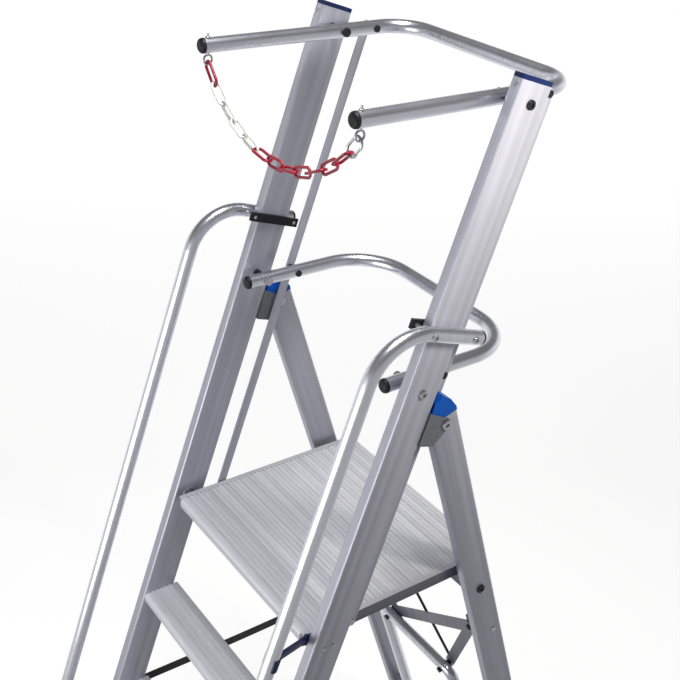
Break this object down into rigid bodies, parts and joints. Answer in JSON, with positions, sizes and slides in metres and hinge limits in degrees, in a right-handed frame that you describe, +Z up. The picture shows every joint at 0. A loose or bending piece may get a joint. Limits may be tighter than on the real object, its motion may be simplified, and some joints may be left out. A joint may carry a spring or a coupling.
{
  "type": "platform stepladder",
  "caption": "Folding platform stepladder with ribbed steps, side handrails, linked tilting guard rails, a guard chain and a braced rear frame.",
  "frame": {"origin": "on the floor, in the middle of the ladder's width and of its length from the front feet to the rear feet", "axes": "+Z up, +Y the way the climber faces, +X to the climber's right"},
  "size_m": [0.647, 1.3196, 2.3555],
  "materials": {
    "profile": "mill finish with long extrusion lines",
    "tread": "mill finish, ribbed",
    "tube": "satin drawn tube",
    "flat_bar": "satin flat bar",
    "bracket": "dark grey, satin",
    "zinc": "zinc plated",
    "black_bolt": "blackened steel",
    "black_plastic": "moulded, matte",
    "blue_plastic": "moulded, satin blue",
    "dark_blue_plastic": "moulded, matte dark blue",
    "shoe_rubber": "moulded rubber",
    "red_plastic": "moulded, glossy",
    "white_plastic": "moulded, glossy",
    "webbing": "woven black webbing"
  },
  "bodies": {
    "front_frame": {"stile_left": "profile", "stile_right": "profile", "stile_caps": "dark_blue_plastic", "front_shoes": "shoe_rubber", "step_1": "tread", "step_2": "tread", "step_3": "tread", "step_4": "tread", "front_rivets": "zinc", "handrail_left": "tube", "handrail_right": "tube", "handrail_plugs": "black_plastic", "handrail_clamps": "black_plastic", "handrail_screws": "zinc", "handrail_stay": "dark_blue_plastic", "hinge_brackets": "bracket", "frame_screws": "zinc", "hinge_bolts": "zinc", "platform_pivots": "zinc", "top_rail_pivots": "black_bolt", "knee_rail_pivots": "zinc", "pivot_bushes": "black_plastic", "strap_left": "webbing", "strap_right": "webbing"},
    "platform": {"platform_deck": "tread", "platform_side_left": "profile", "platform_side_right": "profile", "platform_link_pins": "zinc"},
    "top_rail": {"top_rail_tube": "tube", "top_rail_plugs": "black_plastic", "top_rail_spacers": "black_plastic", "top_rail_link_pins": "zinc", "chain_eye_bolts": "zinc"},
    "knee_rail": {"knee_rail_tube": "tube", "knee_rail_plugs": "black_plastic", "knee_rail_spacers": "black_plastic", "knee_rail_link_pins": "zinc"},
    "link_left": {"link_bar_left": "flat_bar"},
    "link_right": {"link_bar_right": "flat_bar"},
    "chain": {"chain_red_links": "red_plastic", "chain_white_links": "white_plastic", "snap_hook": "zinc"},
    "snap_gate": {"snap_gate": "zinc"},
    "rear_frame": {"leg_left": "profile", "leg_right": "profile", "leg_caps": "blue_plastic", "hinge_bushes": "black_plastic", "rear_shoes": "shoe_rubber", "platform_rest_bar": "profile", "rear_cross_bar": "profile", "cross_bar_plugs": "black_plastic", "cross_bar_bolts": "black_bolt", "brace_bow": "tube", "bow_plugs": "black_plastic", "diagonal_brace": "flat_bar", "brace_struts": "flat_bar", "brace_cleats": "flat_bar", "brace_bolts": "black_bolt", "tie_rod": "black_bolt", "rear_rivets": "zinc"}
  },
  "joints": [
    {"name": "platform_tilt", "type": "hinge", "parent": "front_frame", "child": "platform", "pos_m": [0, -0.20027, 1.2865], "axis": [1, 0, 0], "range_deg": [0, 58]},
    {"name": "top_rail_tilt", "type": "hinge", "parent": "front_frame", "child": "top_rail", "pos_m": [0, 0.13001, 2.303], "axis": [1, 0, 0], "range_deg": [0, 58]},
    {"name": "knee_rail_tilt", "type": "hinge", "parent": "front_frame", "child": "knee_rail", "pos_m": [0, -0.03245, 1.803], "axis": [1, 0, 0], "range_deg": [0, 58]},
    {"name": "link_left_swing", "type": "hinge", "parent": "platform", "child": "link_left", "pos_m": [0, -0.12427, 1.2865], "axis": [1, 0, 0], "range_deg": [-58, 0]},
    {"name": "link_right_swing", "type": "hinge", "parent": "platform", "child": "link_right", "pos_m": [0, -0.12427, 1.2865], "axis": [1, 0, 0], "range_deg": [-58, 0]},
    {"name": "chain_swing", "type": "hinge", "parent": "top_rail", "child": "chain", "pos_m": [0, -0.16699, 2.277], "axis": [1, 0, 0], "range_deg": [-58, 0]},
    {"name": "snap_gate_turn", "type": "hinge", "parent": "chain", "child": "snap_gate", "pos_m": [0.22623, -0.16699, 2.24309], "axis": [0, -1, 0], "range_deg": [0, 20], "stiffness_Nm_per_rad": 0.02, "springref_deg": -11.46},
    {"name": "rear_frame_fold", "type": "hinge", "parent": "front_frame", "child": "rear_frame", "pos_m": [0, 0.02972, 1.72088], "axis": [-1, 0, 0], "range_deg": [0, 34], "deforming": ["strap_left", "strap_right"]}
  ],
  "couplings": [
    {"joint": "top_rail_tilt", "follows": "platform_tilt", "ratio": 1},
    {"joint": "knee_rail_tilt", "follows": "platform_tilt", "ratio": 1},
    {"joint": "link_left_swing", "follows": "platform_tilt", "ratio": -1},
    {"joint": "link_right_swing", "follows": "platform_tilt", "ratio": -1},
    {"joint": "chain_swing", "follows": "platform_tilt", "ratio": -1}
  ]
}
